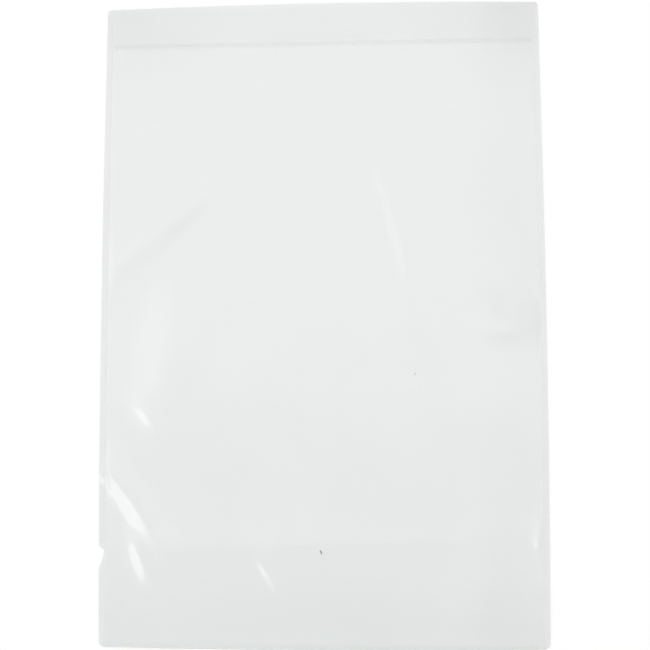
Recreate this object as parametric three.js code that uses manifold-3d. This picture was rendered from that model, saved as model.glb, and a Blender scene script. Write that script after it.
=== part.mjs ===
// A clear press-to-close film bag with a gusset at its foot, empty, shut and lying on its back panel.
// One web of film runs from the mouth down the front, folds up and back down inside the foot as a W,
// and runs up the back to the mouth. Both sides are welded, and a ribbed strip and a channel strip
// snap together between the panels, a little below the mouth.
// Millimetres. +X runs across the bag, +Y towards the mouth and +Z up. The origin is on the table,
// under the middle of the bag.
import * as THREE from 'three';
import { mergeVertices } from 'three/addons/utils/BufferGeometryUtils.js';
import Module from 'manifold-3d';

const wasm = await Module();
wasm.setup();
const { lerp, clamp, smoothstep } = THREE.MathUtils;

// The film and the bag that is folded from it
const bagWidth = 203; // across both side welds, at mid height
const bagHeight = 295.5; // folded foot to mouth, at mid width
const filmThickness = 0.1;
const sideWeldWidth = 3;
const weldBead = 0.05; // what the fused edge stands proud of the stacked film
const gussetDepth = 46.5; // foot to gusset fold, at mid width
const gussetSkew = 0.029; // rise of the gusset fold for each mm towards +X
const layGap = 0.04; // air that stays between two layers pressed together

// The outline as the bag lies, and its corners
const sideBow = 1.2; // each side is this much further in at the corners than at mid height
const mouthBow = 1.3; // the mouth sinks this much from mid width to its corners
const footBow = 0.9; // the foot rises this much from mid width to its corners
const footCornerRadius = 3;
const mouthCornerRadius = 1.2;

// The nick in the left weld, where the gusset fold was caught
const nickDepth = 2.5;
const nickTopSlope = 1.6; // half the rise of its steep upper side
const nickFloor = 2.4; // length of its straight bottom
const nickHeight = 10;
const nickAboveFold = 1.5; // its upper end, from the gusset fold at the bag's edge

// How far the panels stand apart where they lie free
const footLift = 0.5;
const bodyLift = 1.2;
const lipLift = 0.45;
const weldFade = 34; // from the weld inwards, until the panels are free
const creaseFade = 4; // from the weld inwards, until a crease has its full height
const zipperFade = 14.5; // from the strips outwards, until they stop holding the panels apart
const gussetFade = 12.5; // above the gusset fold, until the front panel is down on the back one
const backPocketShare = 0.3; // of the free air, behind the gusset's back leaf
const wedgeShare = 0.3; // of the free air, between the gusset's leaves at the foot

// The press-to-close strips, drawn from the inner face of the back panel up
const zipperBelowMouth = 19.3; // mouth to the middle of the strips, at mid width
const tapeWidth = 4.4; // flat flange of each strip
const tapeThickness = 0.22; // of a flange beside its profile
const tapeEdge = 0.12; // of a flange at its thin edges
const channelWidth = 1.3; // between the jaws
const jawWall = 0.35;
const jawHeight = 1.05; // above the flange
const jawHook = 0.24; // reach of each hook over the channel
const jawHookHeight = 0.3;
const ribStem = 0.45;
const ribTip = 0.3;
const ribHead = 1.1;
const ribHeadHeight = 0.45;
const ribTipGap = 0.1; // between the rib's tip and the channel's floor
const ribBackGap = 0.1; // between the jaws' tops and the ribbed strip's flange
const crushLength = 7; // stretch next to each weld over which the strips are pressed flat
const crushedShare = 0.3; // of their full height, at the weld
const stripEndGap = 0.3; // between the strips' ends and the welds

// Soft creases of the front panel: a curve from one end past a middle point to the other end,
// the distance over which a crease fades to its sides, its height, and its lean. A crease is
// steeper by its lean on the right of its curve, and gentler on the left.
const creases = [
  { curve: [[-107, -62], [-83, -79.5], [-72, -109]], spread: 6, height: 1.25, lean: 0.2 },
  { curve: [[-86, -97], [-82, -107], [-78.5, -118]], spread: 4, height: 0.75, lean: 0.2 },
  { curve: [[-46, 64], [-70, 42], [-95, 22]], spread: 8, height: 1.45, lean: -0.4 },
  { curve: [[-42, 36], [-64, 2], [-62, -46]], spread: 15, height: 2.4, lean: 0 },
  { curve: [[22, 92], [35, 50], [48, -12]], spread: 8.5, height: 1.9, lean: 0.4 },
  { curve: [[57, 105], [72, 91], [80, 68]], spread: 7, height: 1.1, lean: 0.3 },
  { curve: [[74, 26], [86, 9], [98, -6]], spread: 7, height: 1.4, lean: -0.2 },
  { curve: [[-28.5, -103], [-25, -113], [-13.5, -129]], spread: 4.2, height: 0.95, lean: 0.3 },
  { curve: [[96, -92], [97.5, -100], [97, -109]], spread: 3.2, height: 1.2, lean: 0.3 },
];

// How finely the film is drawn
const columns = 27; // between the crushed stretches of the strips
const columnCrowding = 0.25; // how much closer they stand at the left, where most creases are
const crushColumns = 2; // across each crushed stretch
const lipRows = 2; // between the mouth and the strips
const bodyRows = 25; // between the strips and the gusset fold
const rowCrowding = 0.25; // how much closer they stand at the gusset fold
const gussetRows = 8;
const backRows = 4; // up the flat back panel above the gusset
const foldSteps = 4; // facets round each half turn of the film
const creaseSteps = 10;
const weldStub = 0.6; // how far the loose layers run on into the fused weld

// Places that follow from the sizes above
const halfWidth = bagWidth / 2;
const halfHeight = bagHeight / 2;
const weldInner = halfWidth - sideWeldWidth;
const crushStart = weldInner - crushLength;
const zipperY = halfHeight - zipperBelowMouth;
const zipperStack = 2 * tapeThickness + jawHeight + ribBackGap;

const countTo = (last) => Array.from({ length: last + 1 }, (_, i) => i);
const evenly = (from, to, steps) => countTo(steps).map((i) => lerp(from, to, i / steps));
const crowded = (share, crowding) => share * (1 - crowding * (1 - share));
const beyondTapes = (y) => Math.max(Math.abs(y - zipperY) - tapeWidth / 2, 0);

// The gusset fold runs a little askew across the bag.
const gussetFold = (x) => -halfHeight + gussetDepth + gussetSkew * x;

const creaseLines = creases.map(({ curve, ...form }) => {
  const ends = curve.map(([x, y]) => new THREE.Vector2(x, y));
  return { points: new THREE.QuadraticBezierCurve(...ends).getPoints(creaseSteps), ...form };
});

// The nearest place on a crease: how far away it is, how many steps along, and on which side
function nearestOn(points, here) {
  let nearest = { away: Infinity };
  for (let step = 0; step < creaseSteps; step++) {
    const run = points[step + 1].clone().sub(points[step]);
    const reach = here.clone().sub(points[step]);
    const share = clamp(reach.dot(run) / run.lengthSq(), 0, 1);
    const away = reach.distanceTo(run.clone().multiplyScalar(share));
    if (away < nearest.away) nearest = { away, along: step + share, onRight: reach.cross(run) > 0 };
  }
  return nearest;
}

function creaseLift(x, y) {
  const here = new THREE.Vector2(x, y);
  let lift = 0;
  for (const { points, spread, height, lean } of creaseLines) {
    const { away, along, onRight } = nearestOn(points, here);
    const swell = Math.sin((Math.PI * (along + 1)) / (creaseSteps + 2));
    const fade = away / (spread * (onRight ? 1 - lean : 1 + lean));
    lift += height * swell * Math.exp(-fade * fade);
  }
  return lift;
}

function restLift(y) {
  const aboveFoot = smoothstep(y, -halfHeight, -halfHeight + gussetDepth);
  const pastZipper = smoothstep(y, zipperY, halfHeight);
  return lerp(lerp(footLift, bodyLift, aboveFoot), lipLift, pastZipper);
}

// What is left of the strips' full height at a place across the bag
function squeeze(x) {
  const crushed = clamp((Math.abs(x) - crushStart) / crushLength, 0, 1);
  return lerp(1, crushedShare, crushed);
}

// The space between the inner faces of the front and back panels
function panelGap(x, y) {
  const fromWeld = weldInner - Math.abs(x);
  const free = smoothstep(fromWeld, 0, weldFade);
  const pocket = layGap + free * restLift(y) + smoothstep(fromWeld, 0, creaseFade) * creaseLift(x, y);
  const heldApart = 1 - smoothstep(beyondTapes(y), 0, zipperFade);
  const overGusset = 1 - smoothstep(y - gussetFold(x), 0, gussetFade);
  const leaves = overGusset * 2 * (filmThickness + layGap);
  return lerp(pocket, zipperStack * squeeze(x), heldApart) + leaves;
}

// Over the gusset: the heights of the front panel's inner face and of each leaf's lower face,
// and the gaps between the layers
function gussetLayers(x, y) {
  const gap = panelGap(x, y);
  const spare = gap - 2 * filmThickness - 3 * layGap;
  const opened = clamp((gussetFold(x) - y) / gussetDepth, 0, 1);
  const backPocket = layGap + spare * backPocketShare;
  const wedge = layGap + spare * wedgeShare * opened;
  const backLeaf = filmThickness + backPocket;
  const frontLeaf = backLeaf + filmThickness + wedge;
  const front = filmThickness + gap;
  const frontPocket = front - frontLeaf - filmThickness;
  return { y, front, frontLeaf, backLeaf, frontPocket, wedge, backPocket };
}

// Where a point of the plain rectangle goes in the bowed outline. The strips stay straight.
function placed(x, y, z) {
  const along = zipperY + Math.sign(y - zipperY) * beyondTapes(y);
  const narrowing = sideBow * (along / halfHeight) ** 2;
  const outward = (x / halfWidth) ** 2;
  const mouthShare = smoothstep(y, zipperY + tapeWidth / 2, halfHeight);
  const footShare = smoothstep(-y, halfHeight - gussetDepth, halfHeight);
  const shift = footBow * footShare - mouthBow * mouthShare;
  return [x * (1 - narrowing / halfWidth), y + shift * outward, z];
}

// Places across the web, from inside the left weld to inside the right one
function stationsAcross() {
  const right = [...evenly(crushStart, weldInner, crushColumns).slice(1), weldInner + weldStub];
  const left = right.map((x) => -x).reverse();
  const shares = evenly(0, 1, columns).map((share) => crowded(share, columnCrowding));
  const middle = shares.map((share) => lerp(-crushStart, crushStart, share));
  return [...left, ...middle, ...right];
}

// Rows of the panels above the gusset, from the mouth down
function rowsAbove(x) {
  const lip = evenly(halfHeight, zipperY + tapeWidth / 2, lipRows);
  const shares = evenly(1, 0, bodyRows).map((share) => crowded(share, rowCrowding));
  const body = shares.slice(0, -1).map((share) => lerp(gussetFold(x), zipperY - tapeWidth / 2, share));
  return [...lip, ...body];
}

// Rows shared by the panels and both leaves, from the gusset fold down to the foot
function rowsOverGusset(x) {
  const foot = gussetLayers(x, -halfHeight);
  const fold = gussetLayers(x, gussetFold(x));
  const lowest = -halfHeight + foot.frontPocket / 2 + filmThickness;
  const highest = gussetFold(x) - fold.wedge / 2 - filmThickness;
  return evenly(highest, lowest, gussetRows);
}

// A half turn of the film round a gap, from the upper layer to the lower one, as pairs of points
// on the web's outside and inside. It bulges towards the mouth where way is 1 and the foot where -1.
function halfTurn(y, middle, gap, way) {
  const aroundGap = [gap / 2 + filmThickness, gap / 2];
  const radii = way < 0 ? aroundGap : aroundGap.reverse();
  return evenly(0, Math.PI, foldSteps).slice(1, -1).map((angle) =>
    radii.map((radius) => [y + way * radius * Math.sin(angle), middle + radius * Math.cos(angle)]),
  );
}

// The web's section at a place across the bag, as pairs of points on its outside and inside
function webSection(x) {
  const t = filmThickness;
  const above = rowsAbove(x);
  const layers = rowsOverGusset(x).map((y) => gussetLayers(x, y));
  const fold = layers[0];
  const foot = layers[gussetRows];
  const wall = (y, outside, inside) => [[y, outside], [y, inside]];
  const frontAbove = above.map((y) => wall(y, 2 * t + panelGap(x, y), t + panelGap(x, y)));
  const frontOver = layers.map((at) => wall(at.y, at.front + t, at.front));
  const frontLeaf = layers.map((at) => wall(at.y, at.frontLeaf, at.frontLeaf + t));
  const backLeaf = layers.map((at) => wall(at.y, at.backLeaf + t, at.backLeaf));
  const backAbove = evenly(halfHeight, gussetFold(x), backRows).slice(0, -1);
  const back = [...backAbove, ...layers.map((at) => at.y)].map((y) => wall(y, 0, t));
  return [
    ...frontAbove,
    ...frontOver,
    ...halfTurn(foot.y, foot.front - foot.frontPocket / 2, foot.frontPocket, -1),
    ...frontLeaf.reverse(),
    ...halfTurn(fold.y, fold.frontLeaf - fold.wedge / 2, fold.wedge, 1),
    ...backLeaf,
    ...halfTurn(foot.y, foot.backLeaf - foot.backPocket / 2, foot.backPocket, -1),
    ...back.reverse(),
  ];
}

function geometryOf(positions, index) {
  const geometry = new THREE.BufferGeometry();
  geometry.setAttribute('position', new THREE.Float32BufferAttribute(positions, 3));
  geometry.setIndex(index);
  return geometry;
}

// The folded web as one closed thin wall. Its pocket is open at the mouth.
function foldedWeb() {
  const across = stationsAcross();
  const sections = across.map(webSection);
  const pairs = sections[0].length;
  const points = sections.map((section, i) => section.flat().map(([y, z]) => placed(across[i], y, z)));
  const outside = (i, j) => (i * pairs + j) * 2;
  const inside = (i, j) => outside(i, j) + 1;
  const index = [];
  // The diagonals of all layers run the same way over the table, so stacked layers never cross.
  const quad = (a, b, c, d, turned) => {
    if (turned) index.push(a, b, d, b, c, d);
    else index.push(a, b, c, a, c, d);
  };
  const last = pairs - 1;
  for (let i = 0; i + 1 < across.length; i++) {
    for (let j = 0; j < last; j++) {
      const rising = sections[i][j + 1][0][0] > sections[i][j][0][0];
      quad(outside(i, j), outside(i, j + 1), outside(i + 1, j + 1), outside(i + 1, j), rising);
      quad(inside(i + 1, j), inside(i + 1, j + 1), inside(i, j + 1), inside(i, j), !rising);
    }
    quad(outside(i, 0), outside(i + 1, 0), inside(i + 1, 0), inside(i, 0));
    quad(inside(i, last), inside(i + 1, last), outside(i + 1, last), outside(i, last));
  }
  const end = across.length - 1;
  for (let j = 0; j < last; j++) {
    quad(outside(0, j), inside(0, j), inside(0, j + 1), outside(0, j + 1));
    quad(inside(end, j), outside(end, j), outside(end, j + 1), inside(end, j + 1));
  }
  return geometryOf(points.flat(2), index);
}

// A closed body through equal rings of points. The outline is the ring's flat form, drawn
// counterclockwise by someone whom the rings come towards.
function loft(rings, outline) {
  const count = outline.length;
  const last = (rings.length - 1) * count;
  const index = [];
  for (let start = 0; start < last; start += count) {
    for (let j = 0; j < count; j++) {
      const a = start + j;
      const b = start + ((j + 1) % count);
      index.push(a, b, b + count, a, b + count, a + count);
    }
  }
  const contour = outline.map(([u, v]) => new THREE.Vector2(u, v));
  for (const [a, b, c] of THREE.ShapeUtils.triangulateShape(contour, [])) {
    index.push(a, c, b, last + a, last + b, last + c);
  }
  return geometryOf(rings.flat(2), index);
}

// One side's fused weld: as high as the layers that it holds, with a rounded outer edge
function sideWeld(side) {
  const x = side * weldInner;
  const rows = [...rowsAbove(x), ...rowsOverGusset(x)];
  const outline = (y) => {
    const top = 2 * filmThickness + panelGap(x, y) + weldBead;
    const shoulder = halfWidth - top / 2;
    const rounded = [[shoulder, 0], [halfWidth, top / 2], [shoulder, top]];
    const right = [[weldInner, 0], ...rounded, [weldInner, top]];
    return side > 0 ? right : right.map(([u, z]) => [-u, z]).reverse();
  };
  const ring = (y, overrun) => outline(y).map(([u, z]) => placed(u, y + overrun, z));
  const rings = [
    ring(halfHeight, weldBead),
    ...rows.slice(1, -1).map((y) => ring(y, 0)),
    ring(-halfHeight, -weldBead),
  ];
  return loft(rings, outline(0));
}

function solidOf(geometry) {
  const bare = new THREE.BufferGeometry();
  bare.setAttribute('position', geometry.getAttribute('position'));
  bare.setIndex(geometry.index);
  const merged = mergeVertices(bare, 1e-5);
  return new wasm.Manifold(new wasm.Mesh({
    numProp: 3,
    vertProperties: merged.attributes.position.array,
    triVerts: new Uint32Array(merged.index.array),
  }));
}

// A cutter through all the layers, from its outline seen from above
function cutter(outline) {
  const reach = bodyLift + zipperStack + 5 * filmThickness;
  const form = { depth: 2 * reach, bevelEnabled: false, curveSegments: 6 };
  const block = new THREE.ExtrudeGeometry(outline, form);
  return solidOf(block.translate(0, 0, -reach / 2));
}

// What rounding takes off one corner of the bag
function cornerLoss(sideX, sideY, radius) {
  const [x, y] = placed(sideX * halfWidth, sideY * halfHeight, 0);
  const margin = 1;
  const at = (inX, inY) => [x - sideX * inX, y - sideY * inY];
  const outline = new THREE.Shape();
  outline.moveTo(...at(radius, 0));
  outline.quadraticCurveTo(...at(0, 0), ...at(0, radius));
  outline.lineTo(...at(-margin, radius));
  outline.lineTo(...at(-margin, -margin));
  outline.lineTo(...at(radius, -margin));
  return cutter(outline);
}

// What the nick takes out of the left weld
function nickLoss() {
  const top = gussetFold(-halfWidth) + nickAboveFold;
  const [edge] = placed(-halfWidth, top, 0);
  const outline = new THREE.Shape();
  outline.moveTo(edge - nickDepth, top + nickTopSlope);
  outline.lineTo(edge - nickDepth, top - nickHeight - nickTopSlope);
  outline.lineTo(edge, top - nickHeight);
  outline.lineTo(edge + nickDepth, top - nickTopSlope - nickFloor);
  outline.lineTo(edge + nickDepth, top - nickTopSlope);
  return cutter(outline);
}

function bagFilm() {
  const welds = solidOf(sideWeld(-1)).add(solidOf(sideWeld(1)));
  const welded = solidOf(foldedWeb()).add(welds);
  const losses = [
    cornerLoss(-1, -1, footCornerRadius),
    cornerLoss(1, -1, footCornerRadius),
    cornerLoss(-1, 1, mouthCornerRadius),
    cornerLoss(1, 1, mouthCornerRadius),
    nickLoss(),
  ];
  const trimmed = losses.reduce((rest, loss) => rest.subtract(loss), welded).getMesh();
  return geometryOf(trimmed.vertProperties, Array.from(trimmed.triVerts));
}

// A strip's section from the right half of its outline, which runs upwards
const bothHalves = (right) => [...right, ...right.map(([y, z]) => [-y, z]).reverse()];

// Two hooked jaws stand on the back panel's strip and make a channel.
function channelOutline() {
  const inner = channelWidth / 2;
  const outer = inner + jawWall;
  const opening = inner - jawHook;
  const floor = tapeThickness;
  const top = floor + jawHeight;
  return bothHalves([
    [tapeWidth / 2, 0],
    [tapeWidth / 2, tapeEdge],
    [outer, floor],
    [outer, top - jawHookHeight],
    [inner, top],
    [opening, top - jawHookHeight / 2],
    [opening, top - jawHookHeight],
    [inner, top - jawHookHeight],
    [inner, floor],
  ]);
}

// An arrow-headed rib hangs from the front panel's strip into the channel.
function ribOutline() {
  const tip = tapeThickness + ribTipGap;
  const barb = tip + ribHeadHeight / 2;
  return bothHalves([
    [ribTip / 2, tip],
    [ribHead / 2, barb],
    [ribHead / 2, tip + ribHeadHeight],
    [ribStem / 2, tip + ribHeadHeight],
    [ribStem / 2, zipperStack - tapeThickness],
    [tapeWidth / 2, zipperStack - tapeEdge],
    [tapeWidth / 2, zipperStack],
  ]);
}

// A strip of the given section from weld to weld, pressed flat towards its ends
function strip(outline) {
  const end = weldInner - stripEndGap;
  const rings = [-end, -crushStart, crushStart, end].map((x) =>
    outline.map(([y, z]) => placed(x, zipperY + y, filmThickness + z * squeeze(x))),
  );
  return loft(rings, outline);
}

function piece(name, geometry, finish) {
  const mesh = new THREE.Mesh(geometry, new THREE.MeshStandardMaterial(finish));
  mesh.name = name;
  geometry.computeVertexNormals();
  return mesh;
}

const film = { color: 0xe9eceb, roughness: 0.18, metalness: 0, transparent: true, opacity: 0.35 };
const moulding = { color: 0xdfe3e2, roughness: 0.3, metalness: 0, transparent: true, opacity: 0.6 };

const bag = new THREE.Group();
bag.add(piece('bag_film', bagFilm(), film));
bag.add(piece('zipper_channel_strip', strip(channelOutline()), moulding));
bag.add(piece('zipper_rib_strip', strip(ribOutline()), moulding));

export default bag;
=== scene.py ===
import math

import bpy
import numpy as np
from bpy.props import FloatProperty, FloatVectorProperty, IntProperty, PointerProperty
from bpy.types import Operator, Panel, PropertyGroup
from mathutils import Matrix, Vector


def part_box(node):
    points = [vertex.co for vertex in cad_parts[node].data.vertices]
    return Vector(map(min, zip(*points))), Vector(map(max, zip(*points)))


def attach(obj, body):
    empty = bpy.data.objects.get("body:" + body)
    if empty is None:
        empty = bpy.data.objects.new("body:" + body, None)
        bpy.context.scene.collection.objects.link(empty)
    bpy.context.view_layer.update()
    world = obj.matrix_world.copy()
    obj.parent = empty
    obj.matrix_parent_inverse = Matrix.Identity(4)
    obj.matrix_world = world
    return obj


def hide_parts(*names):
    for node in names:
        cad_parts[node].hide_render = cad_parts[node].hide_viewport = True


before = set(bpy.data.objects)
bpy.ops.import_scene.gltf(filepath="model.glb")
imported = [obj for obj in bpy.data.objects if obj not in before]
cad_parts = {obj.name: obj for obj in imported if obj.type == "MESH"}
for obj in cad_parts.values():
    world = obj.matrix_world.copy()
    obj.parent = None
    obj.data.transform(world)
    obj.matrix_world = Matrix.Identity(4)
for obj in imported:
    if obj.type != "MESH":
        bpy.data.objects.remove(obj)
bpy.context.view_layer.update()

bl_info = {
    "name": "Press-to-close film bag",
    "version": (1, 0, 0),
    "blender": (4, 5, 0),
    "location": "3D View > Sidebar > Bag",
    "description": "Folds a clear gusseted film bag round its press-to-close strips",
    "category": "Object",
}

BAG_LOW, BAG_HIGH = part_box("bag_film")
STRIP_LOW, STRIP_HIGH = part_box("zipper_channel_strip")
CLOSED_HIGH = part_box("zipper_rib_strip")[1]
MM = 0.001

# Soft creases of the front panel: start, bend and end in mm, the distance over which
# a crease fades to its sides, its height, and its lean. Seen from its start, a crease is
# steeper by its lean on the right of its curve, and gentler by it on the left.
CREASES = [
    ([(-113, -53), (-84, -77), (-69, -112)], 6.5, 1.24, 0.2),
    ([(-86, -97), (-82, -107), (-78.5, -118)], 4, 0.61, 0.2),
    ([(-46, 64), (-70, 42), (-97, 21)], 8, 2.15, -0.4),
    ([(-44, 40), (-67, 3), (-68, -45)], 16, 2.65, 0),
    ([(22, 92), (35, 50), (48, -12)], 8.5, 2.08, 0.4),
    ([(57, 105), (72, 91), (80, 68)], 7, 1.1, 0.3),
    ([(74, 26), (86, 9), (98, -6)], 7, 1.9, -0.2),
    ([(-29.5, -103), (-25, -113), (-13.5, -129)], 4.2, 0.84, 0.3),
    ([(96.8, -95), (97, -99.5), (96.8, -104)], 3.6, 1.75, 0.3),
]

# Small sharp folds beside the soft creases, given in the same way
SHARP_FOLDS = [
    ([(-85, -36.5), (-80, -42.5), (-74.5, -50)], 3.8, 0.54, 0.2),
    ([(50, 108), (56, 99), (63, 91)], 2.8, 0.97, 0.3),
    ([(20.5, 111), (21, 103), (22, 97)], 2.2, 0.55, 0.3),
    ([(-9.5, -86), (-8, -95), (-7, -105)], 3.2, 0.55, 0.3),
    ([(72, -7), (80, -6.5), (89, -7.5)], 3, 0.6, 0),
    ([(-89, 117), (-74, 117), (-58, 117)], 3.5, 0.3, 0),
    ([(-99, 107), (-92, 108), (-83, 110)], 4, 0.4, 0),
]

# Where a crease runs out over the left weld and gathers its top, given in the same way
WELD_PUCKERS = [([(-105, -63.5), (-101, -68), (-95.5, -76)], 3, 0.75, 0.2)]

# Straight runs that stand for a crease's curve, and the share of the half wave along
# which a crease swells that is left out at each of its ends
CURVE_RUNS = 16
CREASE_END = 1 / 12

# Where the film is drawn more finely: the middle and the reach of a stretch in mm, and
# how many times closer its faces stand there
FINE_ACROSS = [(-86, 16, 2.3), (-22, 9, 1.8), (55, 9, 1.6), (96, 6, 1.8)]
FINE_ALONG = [(-80, 40, 1.7), (100, 14, 1.5)]
TRIAL_PLACES = 2001  # evenly spread, from which the closer ones are worked out

# Rows of faces over the lip, past the tapes of the strips, and round each fold
LIP_ROWS, TAPE_ROWS, TURN_ROWS = 10, 4, 6

# Faint swells of film that never lies quite flat: waves across and along the bag in mm,
# the start of each wave in degrees, and its height in mm
SWELLS = [
    (92, 61, 20, 0.12),
    (-140, 74, 130, 0.14),
    (47, -118, 250, 0.08),
    (230, 39, 75, 0.06),
    (33, 205, 310, 0.05),
    (-58, -49, 190, 0.06),
]

# Share of the spare height over the gusset that lies under each of its leaves
SLACK_SHARE = 0.3

# Outline of the nick: places down from its top as shares of its height, and how far it
# cuts in there as shares of its depth
NICK_DOWN = [-0.05, 0.02, 0.17, 0.4, 0.75, 1.0]
NICK_CUT = [0, 0.28, 1, 0.88, 0.36, 0]

# Columns of points in a weld: how far in they stand from its outer edge, in mm. Where the
# weld is narrow the first keeps within a share of its width, and each next one within a
# further share.
WELD_COLUMNS = [0, 0.06, 0.16, 0.35, 0.8, 1.6]
FIRST_COLUMN, NEXT_COLUMN = 0.1, 0.15

# Rows of points up a weld, as shares of its length: over all of it, over the nick and the
# pucker (from, to and how many), and crowded into a short stretch at both ends
WELD_ROWS = 241
FINE_WELD_ROWS = [(0.12, 0.17, 50), (0.23, 0.295, 40)]
WELD_END, WELD_END_ROWS = 0.02, 8

# A rounded corner stops just short of its end. The outer edge of a weld is rounded over a
# share of its height, and EDGE_LEFT is the square of the share that stays upright.
CORNER_END = 0.9995
EDGE_ROUNDING, EDGE_LEFT = 0.6, 0.02

# The sideways part of a face's normal from which it counts as fused into its neighbour,
# for the film and for the welds, and the angle in degrees up to which each shades smooth
FILM_RIM, WELD_RIM = 0.9, 0.7
FILM_SMOOTH, WELD_SMOOTH = 60, 50

# What a face of the panels, of the gusset's leaves, of the welds and of the strips lets
# through
PANEL_CLEAR = (0.994, 0.9975, 0.996)
LEAF_CLEAR = (0.9945, 0.9965, 0.9955)
WELD_CLEAR = (0.987, 0.989, 0.988)
STRIP_CLEAR = (0.999, 0.9995, 0.9992)

# What they mirror when seen straight on, with more on the strips' closed profile, and what
# leaves and strips gain towards grazing, where panels and welds mirror everything
PANEL_GLOSS, LEAF_GLOSS, WELD_GLOSS = 0.04, 0.008, 0.06
STRIP_GLOSS, PROFILE_GLOSS = 0.002, 0.004
LEAF_GRAZING, STRIP_GRAZING = 0.3, 0.06

# Roughness of the gloss on the film and on the strips, and of what is milky in the strips
FILM_ROUGHNESS, STRIP_ROUGHNESS, MILKY_ROUGHNESS = 0.13, 0.27, 0.45

# Haze in a face of the panels and of the welds, and what makes it up: an even part, soft
# clouds and fine lines along the way the film was drawn
PANEL_HAZE, WELD_HAZE = 0.06, 0.105
EVEN_HAZE, CLOUD_HAZE, LINE_HAZE = 0.76, 0.4, 0.08
CLOUD_SCALE, LINE_STRETCH = 14, (420, 5, 0)

# Patches where more haze paints shade on the film, darker in the corners at the mouth, down
# the right edge, along the foot and at the lip's right corner: the ranges in mm over which
# they grow, across the bag and along it. The corners and the foot count across from the
# middle to either side. The lip's right corner has a place, a radius and the share of it that
# is even.
CORNERS_ACROSS, CORNERS_ALONG = (30, 95), (80, 138)
RIGHT_ACROSS, RIGHT_ALONG = (60, 95), (-30, 30)
FOOT_ACROSS, FOOT_ALONG = (30, 80), (-110, -140)
FOOT_LINE_ALONG = (-144, -147)
LIP_CORNER = (90, 142, 26, 0.1)

# How much darker the lip gets, and how much painted shade each patch lays on, both through
# more haze, and the share of that in the welds
LIP_DARKER, CORNERS_SHADE, LIP_CORNER_SHADE = 0.5, 0.6, 0.5
RIGHT_SHADE, FOOT_SHADE, FOOT_LINE_SHADE = 0.33, 0.18, 0.7
WELD_DARKENING = 0.4

# Where the leaves cling to the panel and can't be seen: along the bag in mm, and towards
# its sides in half widths, from a middle that is shifted a little to the left. Then the
# share that clings in the middle and what the sides add, and how the edges wander.
CLING_ALONG, CLING_ACROSS, CLING_SHIFT = (-145, -101), (0.4, 0.85), 0.04
CLING_MIDDLE, CLING_SIDES = 0.38, 0.5
WANDER_SCALE, WANDER_ALONG, WANDER_ACROSS = 22, 20 * MM, 0.5

# Haze in the strips' tapes and in their closed profile, which ends over a range in mm from
# its middle and has faint bands along it
TAPE_HAZE, PROFILE_HAZE, BAND_HAZE = 0.001, 0.003, 0.011
PROFILE_EDGE, BAND_STRETCH = (0.55, 0.95), (28, 0, 0)

# Specks of dust on the panels: place and radius in mm, and their colour
SPECKS = [(42.1, -25.5, 0.25), (-0.7, -104.4, 0.3), (-0.3, -105.2, 0.3)]
DUST = (0.02, 0.02, 0.02)

# The room that the film mirrors: the ways to its window and to its dark wall, the ranges
# over which each part of it comes into view, and how bright or dark each part is. The
# ceiling brightens towards the back, and the horizon takes away part of the window.
WINDOW_WAY, WALL_WAY = (-0.95, -0.3, 0), (0.85, -0.53, 0)
WINDOW_RANGE, WALL_RANGE = (0.33, 0.53), (0.15, 0.42)
CEILING_RANGE, HORIZON_RANGE = (-0.04, 0.05), (0.75, 0.1)
ROOM_LIGHT, WINDOW_LIGHT, WALL_DARK = 0.45, 0.75, 0.55
CEILING_LIGHT, CEILING_RISE = 0.2, 0.2
HORIZON_LIGHT, HORIZON_OVER_WINDOW = 0.4, 0.6
DARKEST, BRIGHTEST = 0.05, 1.05
SOFT_LIGHT = 0.7  # what the room throws on the bag from all round

# The table, in metres, and the white that it shows on its own
TABLE_SIZE, TABLE_HEIGHT = 12, -0.3 * MM
TABLE_GLOW = 0.63

# The camera: place in metres, turn in degrees, lens and sensor in mm, and range in metres
CAMERA_PLACE, CAMERA_TURN = (0.0245, -0.04788, 0.49784), (5.138, 2.66, -0.155)
LENS, SENSOR = 60.92, 36
CAMERA_NEAR, CAMERA_FAR = 0.01, 50
SEEN_THROUGH = 48  # clear faces, one behind the other


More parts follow.
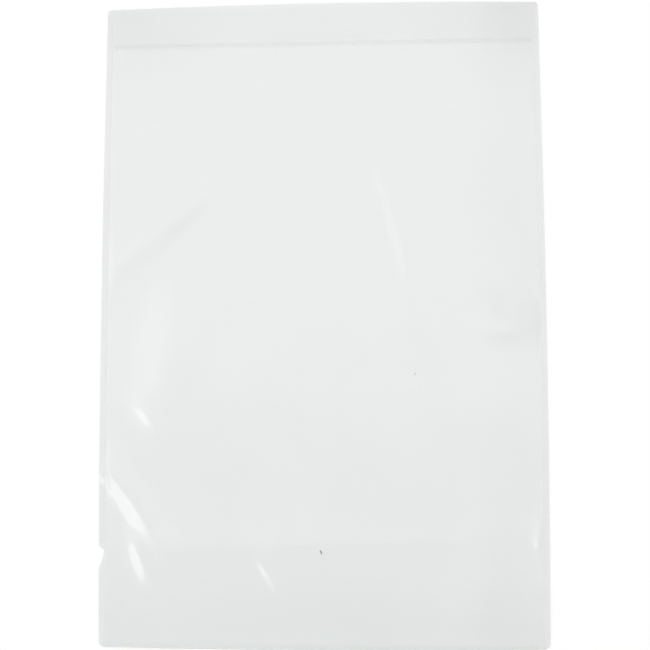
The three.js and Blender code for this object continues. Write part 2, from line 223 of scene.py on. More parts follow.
class BagSizes(PropertyGroup):
    """Sizes of the folded film, and how finely it is drawn."""

    film_thickness: FloatProperty(
        name="Film thickness", description="Thickness of one layer of film",
        default=0.1 * MM, unit="LENGTH", precision=5)
    weld_width: FloatProperty(
        name="Weld width", description="Fused edge down each side",
        default=3 * MM, unit="LENGTH", precision=4)
    weld_bead: FloatProperty(
        name="Weld bead", description="What the fused edge stands proud of the stacked film",
        default=0.05 * MM, unit="LENGTH", precision=5)
    weld_overlap: FloatProperty(
        name="Weld overlap", description="How far the loose layers run on into the weld",
        default=0.01 * MM, unit="LENGTH", precision=5)
    gusset_depth: FloatProperty(
        name="Gusset depth", description="Foot to gusset fold, at mid width",
        default=46.5 * MM, unit="LENGTH", precision=4)
    gusset_skew: FloatProperty(
        name="Gusset skew", description="Rise of the gusset fold over the distance across",
        default=0.029)
    lay_gap: FloatProperty(
        name="Lay gap", description="Air that stays between two layers pressed together",
        default=0.04 * MM, unit="LENGTH", precision=5)
    side_bow: FloatProperty(
        name="Side bow", description="How far each side draws in towards the corners",
        default=1.2 * MM, unit="LENGTH", precision=4)
    mouth_bow: FloatProperty(
        name="Mouth bow", description="How far the mouth sinks towards its corners",
        default=1.3 * MM, unit="LENGTH", precision=4)
    foot_bow: FloatProperty(
        name="Foot bow", description="How far the foot rises towards its corners",
        default=0.9 * MM, unit="LENGTH", precision=4)
    foot_corner: FloatProperty(
        name="Foot corner", description="Radius of the two corners at the foot",
        default=3 * MM, unit="LENGTH", precision=4)
    mouth_corner: FloatProperty(
        name="Mouth corner", description="Radius of the two corners at the mouth",
        default=1.2 * MM, unit="LENGTH", precision=4)
    foot_lift: FloatProperty(
        name="Foot lift", description="How far the panels stand apart at the foot",
        default=0.5 * MM, unit="LENGTH", precision=5)
    body_lift: FloatProperty(
        name="Body lift", description="How far the panels stand apart in the middle",
        default=1.2 * MM, unit="LENGTH", precision=5)
    lip_lift: FloatProperty(
        name="Lip lift", description="How far the panels stand apart at the mouth",
        default=0.45 * MM, unit="LENGTH", precision=5)
    weld_fade: FloatProperty(
        name="Weld fade", description="From the weld inwards, until the panels are free",
        default=34 * MM, unit="LENGTH", precision=4)
    crease_fade: FloatProperty(
        name="Crease fade", description="From the weld inwards, until a crease is full height",
        default=2.5 * MM, unit="LENGTH", precision=4)
    closure_fade: FloatProperty(
        name="Closure fade", description="From the strips, until they stop holding the panels",
        default=14.5 * MM, unit="LENGTH", precision=4)
    gusset_fade: FloatProperty(
        name="Gusset fade", description="Above the gusset fold, until the panels meet again",
        default=12.5 * MM, unit="LENGTH", precision=4)
    crush_length: FloatProperty(
        name="Crush length", description="Stretch beside each weld where the strips are flat",
        default=7 * MM, unit="LENGTH", precision=4)
    crushed_share: FloatProperty(
        name="Crushed share", description="What is left of the strips' height at the weld",
        default=0.3, subtype="FACTOR")
    nick_depth: FloatProperty(
        name="Nick depth", description="How deep the nick cuts into the left weld",
        default=2.5 * MM, unit="LENGTH", precision=4)
    nick_height: FloatProperty(
        name="Nick height", description="Length of the nick along the left weld",
        default=10 * MM, unit="LENGTH", precision=4)
    nick_rise: FloatProperty(
        name="Nick above fold", description="Upper end of the nick, from the gusset fold",
        default=1.5 * MM, unit="LENGTH", precision=4)
    columns: IntProperty(
        name="Columns", description="Faces across the film", default=216)
    body_rows: IntProperty(
        name="Body rows", description="Faces between the strips and the gusset fold",
        default=150)
    gusset_rows: IntProperty(
        name="Gusset rows", description="Faces over the gusset, in each layer", default=44)
    back_rows: IntProperty(
        name="Back rows", description="Faces up the back panel above the gusset", default=10)


class BagColours(PropertyGroup):
    """Colours of the film, the strips and the table."""

    haze: FloatVectorProperty(
        name="Film haze", description="Colour of the haze in the film", subtype="COLOR",
        size=3, default=(0.80, 0.83, 0.82))
    weld_haze: FloatVectorProperty(
        name="Weld haze", description="Colour of the fused film", subtype="COLOR",
        size=3, default=(0.84, 0.86, 0.855))
    strip: FloatVectorProperty(
        name="Strips", description="Colour of the press-to-close strips", subtype="COLOR",
        size=3, default=(0.62, 0.66, 0.65))
    table: FloatVectorProperty(
        name="Table", description="Colour of the table", subtype="COLOR",
        size=3, default=(0.50, 0.50, 0.50))


def smooth(value, low, high):
    share = np.clip((value - low) / (high - low), 0, 1)
    return share * share * (3 - 2 * share)


def between(low, high, share):
    return low + (high - low) * share


def crowded(low, high, steps, stretches):
    """Places from low to high that stand closer together in the given stretches."""
    places = np.linspace(low, high, TRIAL_PLACES)
    density = np.ones_like(places)
    for middle, reach, times in stretches:
        density += (times - 1) * np.exp(-((places / MM - middle) / reach) ** 2)
    total = np.cumsum(density) - density[0]
    return np.interp(np.linspace(0, total[-1], steps + 1), total, places)


class Lay:
    """How the empty bag lies: where its edges run and how far its panels stand apart."""

    def __init__(self, sizes):
        self.sizes = sizes
        self.half_width = (BAG_HIGH.x - BAG_LOW.x) / 2
        self.half_height = (BAG_HIGH.y - BAG_LOW.y) / 2
        self.weld_inner = self.half_width - sizes.weld_width
        self.closure = (STRIP_LOW.y + STRIP_HIGH.y) / 2
        self.half_tape = (STRIP_HIGH.y - STRIP_LOW.y) / 2
        self.closure_height = CLOSED_HIGH.z - sizes.film_thickness

    def gusset_fold(self, x):
        return self.sizes.gusset_depth - self.half_height + self.sizes.gusset_skew * x

    def beyond_tapes(self, y):
        return np.maximum(np.abs(y - self.closure) - self.half_tape, 0)

    def crease_lift(self, x, y, creases):
        lift = np.zeros_like(x)
        for curve, spread, height, lean in creases:
            start, bend, end = (np.array(point) * MM for point in curve)
            part = np.linspace(0, 1, CURVE_RUNS + 1)[:, None]
            points = start * (1 - part) ** 2 + bend * 2 * part * (1 - part) + end * part ** 2
            away = np.full_like(x, np.inf)
            along = np.zeros_like(x)
            on_right = np.zeros_like(x)
            for number, (here, there) in enumerate(zip(points[:-1], points[1:])):
                run = there - here
                from_x, from_y = x - here[0], y - here[1]
                share = np.clip((from_x * run[0] + from_y * run[1]) / (run @ run), 0, 1)
                apart = np.hypot(from_x - share * run[0], from_y - share * run[1])
                nearer = apart < away
                away = np.where(nearer, apart, away)
                along = np.where(nearer, (number + share) / CURVE_RUNS, along)
                on_right = np.where(nearer, from_x * run[1] > from_y * run[0], on_right)
            fade = away / (spread * MM * np.where(on_right > 0, 1 - lean, 1 + lean))
            swell = np.sin(math.pi * between(CREASE_END, 1 - CREASE_END, along))
            lift += height * MM * swell * np.exp(-fade ** 2)
        return lift

    def swell(self, x, y):
        lift = np.zeros_like(x)
        for across, along, start, height in SWELLS:
            turn = 2 * math.pi * (x / (across * MM) + y / (along * MM)) + math.radians(start)
            lift += height * MM * (1 + np.sin(turn)) / 2
        return lift

    def rest_lift(self, y):
        s = self.sizes
        above_foot = smooth(y, -self.half_height, s.gusset_depth - self.half_height)
        past_closure = smooth(y, self.closure, self.half_height)
        return between(between(s.foot_lift, s.body_lift, above_foot), s.lip_lift, past_closure)

    def squeeze(self, x):
        s = self.sizes
        crushed = np.clip((np.abs(x) - self.weld_inner) / s.crush_length + 1, 0, 1)
        return between(1, s.crushed_share, crushed)

    def panel_gap(self, x, y, fine=True):
        s = self.sizes
        from_weld = self.weld_inner - np.abs(x)
        lift = self.rest_lift(y) + (self.swell(x, y) if fine else 0)
        pocket = s.lay_gap + smooth(from_weld, 0, s.weld_fade) * lift
        creases = self.crease_lift(x, y, CREASES + SHARP_FOLDS)
        pocket = pocket + smooth(from_weld, 0, s.crease_fade) * creases
        held_apart = 1 - smooth(self.beyond_tapes(y), 0, s.closure_fade)
        over_gusset = 1 - smooth(y - self.gusset_fold(x), 0, s.gusset_fade)
        leaves = over_gusset * 2 * (s.film_thickness + s.lay_gap)
        return between(pocket, self.closure_height * self.squeeze(x), held_apart) + leaves

    def layers(self, x, y):
        """Middles of the four stacked layers over the gusset, from the top down."""
        s = self.sizes
        t = s.film_thickness
        gap = self.panel_gap(x, y)
        spare = gap - 2 * t - 3 * s.lay_gap  # beyond both leaves and the air round them
        opened = np.clip((self.gusset_fold(x) - y) / s.gusset_depth, 0, 1)
        back_leaf = 1.5 * t + s.lay_gap + spare * SLACK_SHARE
        front_leaf = back_leaf + t + s.lay_gap + spare * SLACK_SHARE * opened
        return 1.5 * t + gap, front_leaf, back_leaf, np.full_like(gap, t / 2)

    def placed(self, x, y):
        """Where a point of the plain rectangle goes in the bowed outline."""
        s = self.sizes
        along = self.closure + np.sign(y - self.closure) * self.beyond_tapes(y)
        narrowing = s.side_bow * (along / self.half_height) ** 2
        mouth = smooth(y, self.closure + self.half_tape, self.half_height)
        foot = smooth(-y, self.half_height - s.gusset_depth, self.half_height)
        shift = s.foot_bow * foot - s.mouth_bow * mouth
        return x * (1 - narrowing / self.half_width), y + shift * (x / self.half_width) ** 2


def half_turn(x, y, upper, lower, way):
    """Rows of film round a fold, from the upper layer to the lower one. The fold points
    along +Y where way is 1, and along -Y where it is -1."""
    middle, radius = (upper + lower) / 2, (upper - lower) / 2
    angles = np.linspace(0, math.pi, TURN_ROWS + 1)[1:-1]
    return [(x, y + way * radius * math.sin(a), middle + radius * math.cos(a)) for a in angles]


def web_rows(lay):
    """Rows of the folded web from the mouth down the front and up the back, in two lots:
    the front panel with its turn at the foot, and the rest. The number that comes with
    them counts the rows of the rest that belong to the gusset's leaves."""
    s = lay.sizes
    t = s.film_thickness
    edge = lay.weld_inner + s.weld_overlap
    x = crowded(-edge, edge, s.columns, FINE_ACROSS)
    fold, middle_fold = lay.gusset_fold(x), lay.gusset_fold(0)
    top = np.full_like(x, lay.half_height)
    upper, lower = lay.closure + lay.half_tape, lay.closure - lay.half_tape
    lip = [between(top, upper, share) for share in np.linspace(0, 1, LIP_ROWS + 1)]
    tape = [np.full_like(x, y) for y in np.linspace(upper, lower, TAPE_ROWS + 1)[1:]]
    heights = crowded(middle_fold, lower, s.body_rows, FINE_ALONG)
    shares = (heights - lower) / (middle_fold - lower)
    body = [between(lower, fold, share) for share in shares[::-1][1:-1]]
    at_fold, at_foot = lay.layers(x, fold), lay.layers(x, np.full_like(x, -lay.half_height))
    highest = fold - (at_fold[1] - at_fold[2]) / 2 - t / 2
    lowest = -lay.half_height + (at_foot[0] - at_foot[1]) / 2 + t / 2
    over = [between(highest, lowest, share) for share in np.linspace(0, 1, s.gusset_rows + 1)]
    stacked = [lay.layers(x, y) for y in over]
    crest, foot = stacked[0], stacked[-1]
    front = [(x, y, 1.5 * t + lay.panel_gap(x, y)) for y in lip + tape + body]
    front += [(x, y, z[0]) for y, z in zip(over, stacked)]
    front += half_turn(x, over[-1], foot[0], foot[1], -1)
    front += [(x, over[-1], foot[1])]
    rest = [(x, y, z[1]) for y, z in zip(over[::-1], stacked[::-1])]
    rest += half_turn(x, over[0], crest[1], crest[2], 1)
    rest += [(x, y, z[2]) for y, z in zip(over, stacked)]
    leaf_rows = len(rest)
    rest += half_turn(x, over[-1], foot[2], foot[3], -1)
    above_fold = np.linspace(0, 1, s.back_rows + 1)[1:]
    back = over[::-1] + [between(fold, top, share) for share in above_fold]
    rest += [(x, y, np.full_like(x, t / 2)) for y in back]
    return front, rest, leaf_rows


def start_fresh():
    if bpy.context.object and bpy.context.object.mode != "OBJECT":
        bpy.ops.object.mode_set(mode="OBJECT")
    bpy.ops.object.select_all(action="DESELECT")


def grid_piece(name, columns, rows):
    """A grid of columns by rows of faces, whose points run row by row along +X."""
    start_fresh()
    bpy.ops.mesh.primitive_grid_add(x_subdivisions=columns, y_subdivisions=rows, size=2)
    piece = bpy.context.object
    piece.name = piece.data.name = name
    points = np.array([v.co for v in piece.data.vertices])
    order = np.lexsort((points[:, 0].round(5), points[:, 1].round(5)))
    return piece, order.reshape(rows + 1, columns + 1)


def move_points(piece, places):
    piece.data.vertices.foreach_set("co", places.astype(np.float32).ravel())
    piece.data.update()


def finish_film(piece):
    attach(piece, "root")
    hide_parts("bag_film")


def opaque(colour):
    return (*colour, 1)


class Reading:
    """A socket that takes part in sums, and adds the Math nodes that work them out."""

    def __init__(self, tree, socket):
        self.tree, self.socket = tree, socket

    def worked(self, operation, first, second=None):
        node = self.tree.nodes.new("ShaderNodeMath")
        node.operation = operation
        for place, value in zip(node.inputs, (first, second)):
            if isinstance(value, Reading):
                self.tree.links.new(value.socket, place)
            elif value is not None:
                place.default_value = value
        return Reading(self.tree, node.outputs[0])

    def __add__(self, other):
        return self.worked("ADD", self, other)

    def __radd__(self, other):
        return self.worked("ADD", other, self)

    def __sub__(self, other):
        return self.worked("SUBTRACT", self, other)

    def __rsub__(self, other):
        return self.worked("SUBTRACT", other, self)

    def __mul__(self, other):
        return self.worked("MULTIPLY", self, other)

    def __rmul__(self, other):
        return self.worked("MULTIPLY", other, self)

    def __truediv__(self, other):
        return self.worked("DIVIDE", self, other)

    def __pow__(self, other):
        return self.worked("POWER", self, other)

    def __abs__(self):
        return self.worked("ABSOLUTE", self)

    def least(self, other):
        return self.worked("MAXIMUM", self, other)

    def most(self, other):
        return self.worked("MINIMUM", self, other)


class Finish:
    """A material or world, built node by node."""

    def __init__(self, owner):
        owner.use_nodes = True
        self.tree = owner.node_tree
        self.tree.nodes.clear()

    def node(self, kind, settings=None, values=None, output=0):
        node = self.tree.nodes.new("ShaderNode" + kind)
        for name, value in (settings or {}).items():
            setattr(node, name, value)
        for name, value in (values or {}).items():
            socket = node.inputs[name]
            if isinstance(value, Reading):
                self.tree.links.new(value.socket, socket)
            else:
                socket.default_value = value
        return None if output is None else Reading(self.tree, node.outputs[output])

    def end(self, surface, kind="OutputMaterial"):
        self.node(kind, {}, {"Surface": surface}, None)

    def place(self):
        return self.node("TexCoord", output="Object")

    def axes(self, place, *names):
        return [self.node("SeparateXYZ", {}, {0: place}, name) for name in names]

    def noise(self, place, scale=1, detail=1, stretch=(1, 1, 1)):
        drawn = self.node("Mapping", {}, {"Vector": place, "Scale": stretch})
        return self.node("TexNoise", {}, {
            "Vector": drawn, "Scale": scale, "Detail": detail}, "Fac")

    def rise(self, value, low, high):
        """Runs softly from 0 at low to 1 at high, and stays level beyond them."""
        return self.node("MapRange", {"interpolation_type": "SMOOTHSTEP"}, {
            "Value": value, "From Min": low, "From Max": high})

    def rise_mm(self, place, low, high):
        return self.rise(place, low * MM, high * MM)

    def spot(self, place, x, y, radius, core=0.7):
        """1 inside a round spot in mm, at a place seen from above, and 0 outside it."""
        flat = self.node("VectorMath", {"operation": "MULTIPLY"}, {0: place, 1: (1, 1, 0)})
        middle = (x * MM, y * MM, 0)
        away = self.node("VectorMath", {"operation": "DISTANCE"}, {0: flat, 1: middle}, "Value")
        return 1 - self.rise_mm(away, radius * core, radius)

    def ray(self, kind):
        return self.node("LightPath", {}, {}, f"Is {kind} Ray")

    def clear(self, tint=(1, 1, 1)):
        return self.node("BsdfTransparent", {}, {"Color": opaque(tint)})

    def matt(self, colour):
        return self.node("BsdfDiffuse", {}, {"Color": opaque(colour)})

    def mixed(self, share, under, over):
        return self.node("MixShader", {}, {0: share, 1: under, 2: over})

    def glossy(self, body, roughness, straight, grazing):
        """A body under a gloss that mirrors one share of the view straight on, and gains
        another towards grazing."""
        facing = self.node("LayerWeight", {}, {"Blend": 0.5}, "Facing")
        sheen = self.node("BsdfAnisotropic", {}, {
            "Color": (1, 1, 1, 1), "Roughness": roughness})
        return self.mixed(straight + grazing * facing ** 5, body, sheen)


def film_finish(name, lay, colour, haze, gloss, tint, darkening_share=1, specks=()):
    """Clear film under a gloss, with a faint uneven haze. More haze darkens the film on the lip,
    and paints shade in the corners at the mouth, at the lip's right corner, down the right edge
    and along the foot."""
    material = bpy.data.materials.new(name)
    f = Finish(material)
    place = f.place()
    x, y = f.axes(place, "X", "Y")
    lip = f.rise(y, lay.closure - lay.half_tape, lay.closure)
    corners = f.rise_mm(abs(x), *CORNERS_ACROSS) * f.rise_mm(y, *CORNERS_ALONG)
    lip_corner_shade = f.spot(place, *LIP_CORNER)
    right_shade = f.rise_mm(x, *RIGHT_ACROSS) * f.rise_mm(y, *RIGHT_ALONG)
    foot = f.rise_mm(y, *FOOT_ALONG) * (1 - f.rise_mm(abs(x), *FOOT_ACROSS))
    foot_line_shade = f.rise_mm(y, *FOOT_LINE_ALONG)
    # More haze darkens the lip and paints shade in the corners at the mouth, at the lip's right
    # corner, down the right edge, along the foot and on its edge
    above = lip * LIP_DARKER + corners * CORNERS_SHADE + lip_corner_shade * LIP_CORNER_SHADE
    shade_below = right_shade * RIGHT_SHADE + foot * FOOT_SHADE + foot_line_shade * FOOT_LINE_SHADE
    cloud = f.noise(place, CLOUD_SCALE)
    drawn_lines = f.noise(place, stretch=LINE_STRETCH)
    uneven = EVEN_HAZE + cloud * CLOUD_HAZE + drawn_lines * LINE_HAZE
    share = uneven * haze * (1 + (above + shade_below) * darkening_share)
    body = f.mixed(share, f.clear(tint), f.matt(colour))
    surface = f.glossy(body, FILM_ROUGHNESS, gloss, 1 - gloss)
    if specks:
        speck = sum(f.spot(place, *spot) for spot in specks)
        surface = f.mixed(speck.most(1), surface, f.matt(DUST))
    f.end(surface)
    return material


def inner_face_finish(name):
    """The face of a panel inside the bag: clear, with a plain gloss."""
    material = bpy.data.materials.new(name)
    f = Finish(material)
    f.end(f.glossy(f.clear(PANEL_CLEAR), 0, PANEL_GLOSS, 1 - PANEL_GLOSS))
    return material


def leaf_finish(name, lay):
    """A leaf of the gusset: clear, and lost from sight where it clings to the panel."""
    material = bpy.data.materials.new(name)
    f = Finish(material)
    place = f.place()
    x, y = f.axes(place, "X", "Y")
    wander = f.noise(place, WANDER_SCALE) - 0.5
    sideways = abs(x / lay.half_width + CLING_SHIFT) + wander * WANDER_ACROSS
    cling = CLING_MIDDLE + f.rise(sideways, *CLING_ACROSS) * CLING_SIDES
    cling = f.rise_mm(y + wander * WANDER_ALONG, *CLING_ALONG) * cling
    loose = f.glossy(f.clear(LEAF_CLEAR), 0, LEAF_GLOSS, LEAF_GRAZING)
    f.end(f.mixed(cling, loose, f.clear()))
    return material


def joint_finish(name):
    """A face that is fused into its neighbour, where there is nothing to see."""
    material = bpy.data.materials.new(name)
    f = Finish(material)
    f.end(f.clear())
    return material


def strip_finish(name, lay, colour):
    """A translucent extrusion: clear tapes, and a milky closed profile between them."""
    material = bpy.data.materials.new(name)
    f = Finish(material)
    place = f.place()
    y = f.axes(place, "Y")[0]
    profile = 1 - f.rise_mm(abs(y - lay.closure), *PROFILE_EDGE)
    bands = f.noise(place, detail=2, stretch=BAND_STRETCH)
    share = TAPE_HAZE + profile * (PROFILE_HAZE + bands * BAND_HAZE)
    milky = f.node("BsdfPrincipled", {}, {
        "Base Color": opaque(colour), "Roughness": MILKY_ROUGHNESS, "Specular IOR Level": 0})
    body = f.mixed(share, f.clear(STRIP_CLEAR), milky)
    straight = STRIP_GLOSS + profile * PROFILE_GLOSS
    f.end(f.glossy(body, STRIP_ROUGHNESS, straight, STRIP_GRAZING))
    return material


class BAG_OT_film_web(Operator):
    """Folds one web of clear film into the panels, the lip and the gusset"""

    bl_idname = "bag.film_web"
    bl_label = "Fold the film web"

    def film(self, lay, name, rows, outside, inside, joint, leaf_rows=0):
        """A stretch of the web with its wall. Its outside and its inside have a finish
        each for the panel and for the leaves, and its rims in the welds have one."""
        piece, order = grid_piece(name, lay.sizes.columns, len(rows) - 1)
        places = np.zeros((len(piece.data.vertices), 3))
        row_of = np.zeros(len(places), int)
        for number, (row, (x, y, z)) in enumerate(zip(order, rows)):
            bowed_x, bowed_y = lay.placed(x, y)
            places[row] = np.stack([bowed_x, bowed_y, z], 1)
            row_of[row] = number
        move_points(piece, places)
        for finish in (*outside, *inside, joint):
            piece.data.materials.append(finish)
        for face in piece.data.polygons:
            face.material_index = int(min(row_of[v] for v in face.vertices) < leaf_rows)
        bpy.ops.object.mode_set(mode="EDIT")
        bpy.ops.mesh.select_all(action="SELECT")
        bpy.ops.mesh.flip_normals()
        bpy.ops.object.mode_set(mode="OBJECT")
        wall = piece.modifiers.new("wall", "SOLIDIFY")
        wall.thickness = lay.sizes.film_thickness
        wall.offset = 0
        wall.material_offset = len(outside)
        bpy.ops.object.modifier_apply(modifier="wall")
        for face in piece.data.polygons:
            if abs(face.normal.x) > FILM_RIM:
                face.material_index = len(outside) + len(inside)
        bpy.ops.object.shade_smooth_by_angle(angle=math.radians(FILM_SMOOTH))
        finish_film(piece)

    def execute(self, context):
        lay = Lay(context.scene.bag_sizes)
        panel = film_finish(
            "clear_panel_film", lay, context.scene.bag_colours.haze, PANEL_HAZE, PANEL_GLOSS,
            PANEL_CLEAR, specks=SPECKS)
        leaf = leaf_finish("clear_leaf_film", lay)
        panel_inner = inner_face_finish("panel_inner_face")
        finishes = (panel, leaf), (panel_inner, leaf), joint_finish("film_in_weld")
        front, rest, leaf_rows = web_rows(lay)
        self.film(lay, "front_film", front, *finishes)
        self.film(lay, "gusset_and_back_film", rest, *finishes, leaf_rows)
        return {"FINISHED"}


class BAG_OT_side_welds(Operator):
    """Fuses the layers of film down both sides, with the nick in the left weld"""

    bl_idname = "bag.side_welds"
    bl_label = "Weld the sides"

    def rows(self, lay):
        """Places up a weld, closer together at its ends, at the nick and at the pucker."""
        turn = np.linspace(0, math.pi, WELD_END_ROWS + 1)[1:-1]
        ends = 0.5 * (1 - np.cos(turn)) * WELD_END
        fine = [np.linspace(*stretch) for stretch in FINE_WELD_ROWS]
        shares = np.concatenate([np.linspace(0, 1, WELD_ROWS), ends, 1 - ends, *fine])
        return -lay.half_height + np.unique(shares.round(6)) * 2 * lay.half_height

    def outer_edge(self, lay, side, y):
        """How far the weld reaches at each row, with its rounded corners and the nick."""
        s = lay.sizes
        reach = np.full_like(y, s.weld_width)
        for end, radius in ((-lay.half_height, s.foot_corner), (lay.half_height, s.mouth_corner)):
            near = np.clip(1 - np.abs(y - end) / radius, 0, CORNER_END)
            reach -= radius * (1 - np.sqrt(1 - near ** 2))
        if side < 0:
            top = lay.gusset_fold(-lay.half_width) + s.nick_rise
            down = (top - y) / s.nick_height
            reach -= s.nick_depth * np.interp(down, NICK_DOWN, NICK_CUT)
        return reach

    def flat_strip(self, lay, side, name):
        """A flat strip of faces from the outer edge in to where the loose film starts."""
        y = self.rows(lay)
        last = len(WELD_COLUMNS)
        weld, order = grid_piece(name, last, len(y) - 1)
        reach = self.outer_edge(lay, side, y)
        places = np.zeros((len(weld.data.vertices), 3))
        for column in range(last + 1):
            depth = reach
            if column < last:
                closest = reach * (FIRST_COLUMN + column * NEXT_COLUMN)
                depth = np.minimum(WELD_COLUMNS[column] * MM, closest)
            bowed_x, bowed_y = lay.placed(side * (lay.weld_inner + reach - depth), y)
            at = order[:, column if side < 0 else last - column]
            places[at] = np.stack([bowed_x, bowed_y, np.zeros_like(y)], 1)
        move_points(weld, places)
        return weld

    def raise_strip(self, lay, side, weld):
        """Gives the strip its height, its rounded outer edge and the pucker on its top."""
        bpy.ops.object.mode_set(mode="EDIT")
        bpy.ops.mesh.select_all(action="SELECT")
        bpy.ops.mesh.extrude_region_move(TRANSFORM_OT_translate={"value": (0, 0, 1)})
        bpy.ops.mesh.select_all(action="SELECT")
        bpy.ops.mesh.normals_make_consistent(inside=False)
        bpy.ops.object.mode_set(mode="OBJECT")
        points = np.array([v.co for v in weld.data.vertices])
        across, along, raised = points[:, 0], points[:, 1], points[:, 2] > 0.5
        s = lay.sizes
        held = lay.panel_gap(np.full_like(along, side * lay.weld_inner), along, fine=False)
        height = 2 * s.film_thickness + s.weld_bead + held
        edge = lay.placed(side * (lay.weld_inner + self.outer_edge(lay, side, along)), along)[0]
        rounding = np.clip(1 - np.abs(edge - across) / (height * EDGE_ROUNDING), 0, 1)
        half = height / 2 * np.sqrt(np.clip(1 - rounding ** 2, EDGE_LEFT, 1))
        pucker = lay.crease_lift(across, along, WELD_PUCKERS) * half / height * 2
        top, bottom = height / 2 + half + pucker, height / 2 - half
        points[:, 2] = np.where(raised, top, bottom)
        move_points(weld, points)

    def execute(self, context):
        lay = Lay(context.scene.bag_sizes)
        # The welds take a share of the film's lip darkening and painted shade
        fused = film_finish(
            "fused_edge_film", lay, context.scene.bag_colours.weld_haze, WELD_HAZE, WELD_GLOSS,
            WELD_CLEAR, WELD_DARKENING)
        joint = joint_finish("fused_joint")
        for side, name in ((-1, "left_weld"), (1, "right_weld")):
            weld = self.flat_strip(lay, side, name)
            self.raise_strip(lay, side, weld)
            weld.data.materials.append(fused)
            weld.data.materials.append(joint)
            for face in weld.data.polygons:
                inner = abs(face.center.x) < lay.weld_inner and abs(face.normal.x) > WELD_RIM
                face.material_index = int(inner)
            bpy.ops.object.shade_smooth_by_angle(angle=math.radians(WELD_SMOOTH))
            finish_film(weld)
        return {"FINISHED"}


class BAG_OT_press_strips(Operator):
    """Finishes the ribbed strip and the channel strip as translucent extrusions"""

    bl_idname = "bag.press_strips"
    bl_label = "Finish the press-to-close strips"

    def execute(self, context):
        extrusion = strip_finish(
            "translucent_extrusion", Lay(context.scene.bag_sizes),
            context.scene.bag_colours.strip)
        for node in ("zipper_channel_strip", "zipper_rib_strip"):
            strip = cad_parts[node]
            strip.data.materials.clear()
            strip.data.materials.append(extrusion)
        return {"FINISHED"}


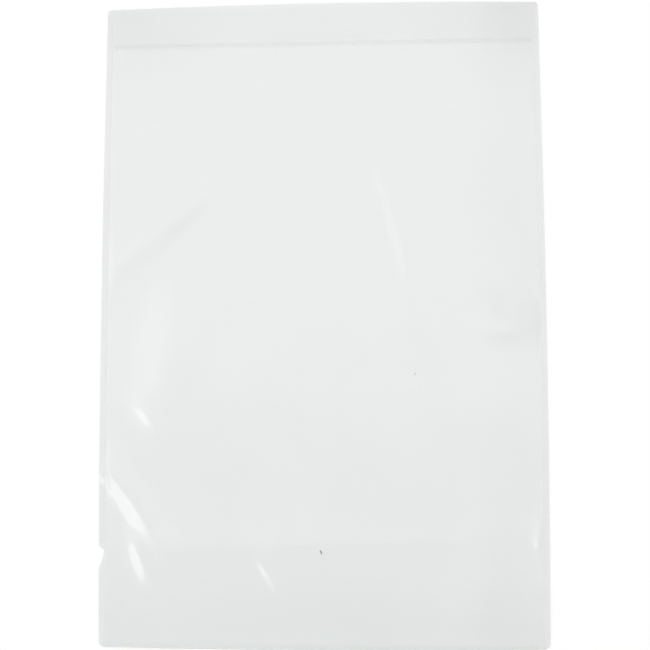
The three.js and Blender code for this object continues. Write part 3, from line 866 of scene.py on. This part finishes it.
class BAG_OT_stage(Operator):
    """Sets the table, the soft lights and the camera"""

    bl_idname = "bag.stage"
    bl_label = "Set the stage"

    def table(self, colour):
        start_fresh()
        bpy.ops.mesh.primitive_plane_add(size=TABLE_SIZE, location=(0, 0, TABLE_HEIGHT))
        table = bpy.context.object
        table.name = "table"
        material = bpy.data.materials.new("white_table")
        f = Finish(material)
        seen = f.ray("Camera").least(f.ray("Glossy")).least(f.ray("Transmission"))
        glow = f.node("Emission", {}, {"Color": (1, 1, 1, 1), "Strength": seen * TABLE_GLOW})
        f.end(f.node("AddShader", {}, {0: f.matt(colour), 1: glow}))
        table.data.materials.append(material)

    def room(self, f):
        """How bright the room is each way."""
        way = f.node("TexCoord", output="Generated")
        left, right = (
            f.node("VectorMath", {"operation": "DOT_PRODUCT"}, {0: way, 1: side}, "Value")
            for side in (WINDOW_WAY, WALL_WAY))
        back, height = f.axes(way, "Y", "Z")
        horizon = f.rise(height, *HORIZON_RANGE)
        ceiling = f.rise(back, *CEILING_RANGE) * CEILING_LIGHT + back * CEILING_RISE
        window = f.rise(left, *WINDOW_RANGE) * WINDOW_LIGHT
        window = window * (1 - horizon * HORIZON_OVER_WINDOW)
        dark_wall = f.rise(right, *WALL_RANGE) * WALL_DARK
        bright = ROOM_LIGHT + ceiling + window - dark_wall + horizon * HORIZON_LIGHT
        return bright.least(DARKEST).most(BRIGHTEST)

    def world(self):
        """White behind the bag, the room in its gloss, and an even soft light."""
        world = bpy.data.worlds.new("soft_room")
        bpy.context.scene.world = world
        f = Finish(world)
        in_gloss = f.ray("Glossy")
        white = f.ray("Camera").least(f.ray("Transmission"))
        strength = in_gloss * self.room(f) + (1 - in_gloss) * SOFT_LIGHT
        strength = white + (1 - white) * strength
        f.end(f.node("Background", {}, {
            "Color": (1, 1, 1, 1), "Strength": strength}), "OutputWorld")

    def lamp(self, name, angle_out, angle_round, distance, size, radiance):
        """A softbox that faces the bag, at an angle off straight up and round from +X."""
        out, turned = math.radians(angle_out), math.radians(angle_round)
        aside = distance * math.sin(out)
        place = (aside * math.cos(turned), aside * math.sin(turned), distance * math.cos(out))
        start_fresh()
        bpy.ops.object.light_add(type="AREA", location=place)
        lamp = bpy.context.object
        lamp.name = name
        lamp.rotation_euler = (0, out, turned)
        lamp.data.shape = "RECTANGLE"
        lamp.data.size, lamp.data.size_y = size
        lamp.data.energy = radiance * math.pi * size[0] * size[1]
        return lamp

    def camera(self):
        start_fresh()
        turn = [math.radians(angle) for angle in CAMERA_TURN]
        bpy.ops.object.camera_add(location=CAMERA_PLACE, rotation=turn)
        camera = bpy.context.object
        camera.name = "camera"
        camera.data.lens, camera.data.sensor_width = LENS, SENSOR
        camera.data.clip_start, camera.data.clip_end = CAMERA_NEAR, CAMERA_FAR
        bpy.context.scene.camera = camera

    def execute(self, context):
        self.table(context.scene.bag_colours.table)
        self.world()
        self.lamp("key_softbox", angle_out=39.4, angle_round=209, distance=1.2,
                  size=(0.2, 0.5), radiance=1.25)
        fill = self.lamp("fill_softbox", angle_out=57, angle_round=115, distance=1,
                         size=(0.5, 0.5), radiance=0.7)
        fill.visible_glossy = False
        self.camera()
        context.scene.view_settings.view_transform = "Standard"
        context.scene.cycles.transparent_max_bounces = SEEN_THROUGH
        return {"FINISHED"}


class VIEW3D_PT_bag(Panel):
    """Lists the sizes, colours and steps of the film bag"""

    bl_label = "Film bag"
    bl_space_type = "VIEW_3D"
    bl_region_type = "UI"
    bl_category = "Bag"

    def draw(self, context):
        for group in (context.scene.bag_sizes, context.scene.bag_colours):
            for name in group.bl_rna.properties.keys():
                if name not in ("rna_type", "name"):
                    self.layout.prop(group, name)
        for step in STEPS:
            self.layout.operator(step.bl_idname)


STEPS = (BAG_OT_film_web, BAG_OT_side_welds, BAG_OT_press_strips, BAG_OT_stage)
CLASSES = (BagSizes, BagColours, *STEPS, VIEW3D_PT_bag)


def register():
    for cls in CLASSES:
        bpy.utils.register_class(cls)
    bpy.types.Scene.bag_sizes = PointerProperty(type=BagSizes)
    bpy.types.Scene.bag_colours = PointerProperty(type=BagColours)


def unregister():
    del bpy.types.Scene.bag_colours
    del bpy.types.Scene.bag_sizes
    for cls in reversed(CLASSES):
        bpy.utils.unregister_class(cls)


def main():
    register()
    bpy.ops.bag.film_web()
    bpy.ops.bag.side_welds()
    bpy.ops.bag.press_strips()
    bpy.ops.bag.stage()


if __name__ == "__main__":
    main()
